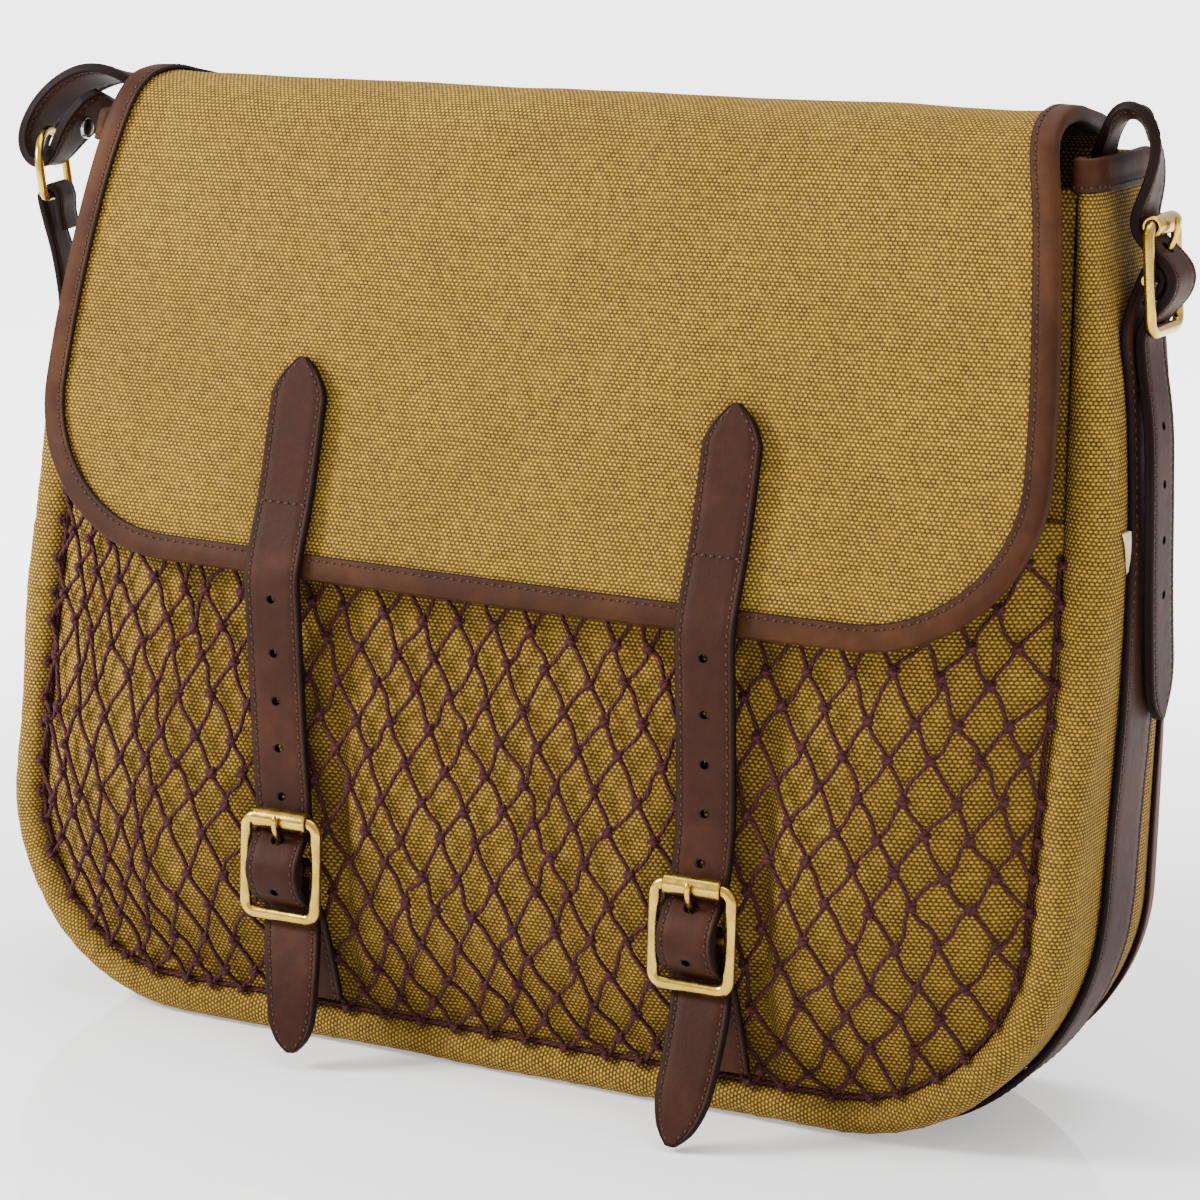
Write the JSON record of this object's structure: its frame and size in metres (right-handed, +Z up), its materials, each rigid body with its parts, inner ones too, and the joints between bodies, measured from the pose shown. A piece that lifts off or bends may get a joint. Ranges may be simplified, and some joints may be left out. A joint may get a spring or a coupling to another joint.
{
  "type": "hunting game bag",
  "caption": "Canvas shoulder bag for game, with a leather-bound flap on buckled straps over a netted front pocket, resting on its flat base.",
  "frame": {"origin": "centre of the flat base, on the floor", "axes": "+X to the viewer's right facing the front, -Y out of the front, +Z up"},
  "size_m": [0.4567, 0.145, 0.3565],
  "materials": {
    "tan_duck": "plain woven cotton duck",
    "brown_hide": "matte bridle leather",
    "edge_hide": "matte binding leather",
    "twine": "twisted cotton twine",
    "brass": "satin",
    "dark_metal": "dark plated",
    "cream_tape": "woven tape"
  },
  "bodies": {
    "root": {"back_binding": "edge_hide", "back_panel": "tan_duck", "buckle_left_frame": "brass", "buckle_left_prong": "brass", "buckle_left_roller": "brass", "buckle_right_frame": "brass", "buckle_right_prong": "brass", "buckle_right_roller": "brass", "chape_left": "brown_hide", "chape_right": "brown_hide", "d_ring": "brass", "flap": "tan_duck", "flap_binding": "edge_hide", "front_panel": "tan_duck", "front_strap_left": "brown_hide", "front_strap_right": "brown_hide", "gusset": "tan_duck", "gusset_binding_left": "edge_hide", "gusset_binding_right": "edge_hide", "net": "twine", "pocket_panel": "tan_duck", "press_stud": "dark_metal", "shoulder_buckle_frame": "brass", "shoulder_buckle_prong": "brass", "shoulder_buckle_roller": "brass", "shoulder_strap": "brown_hide", "side_label": "cream_tape", "side_strip_left": "brown_hide", "side_strip_right": "brown_hide"}
  },
  "joints": []
}
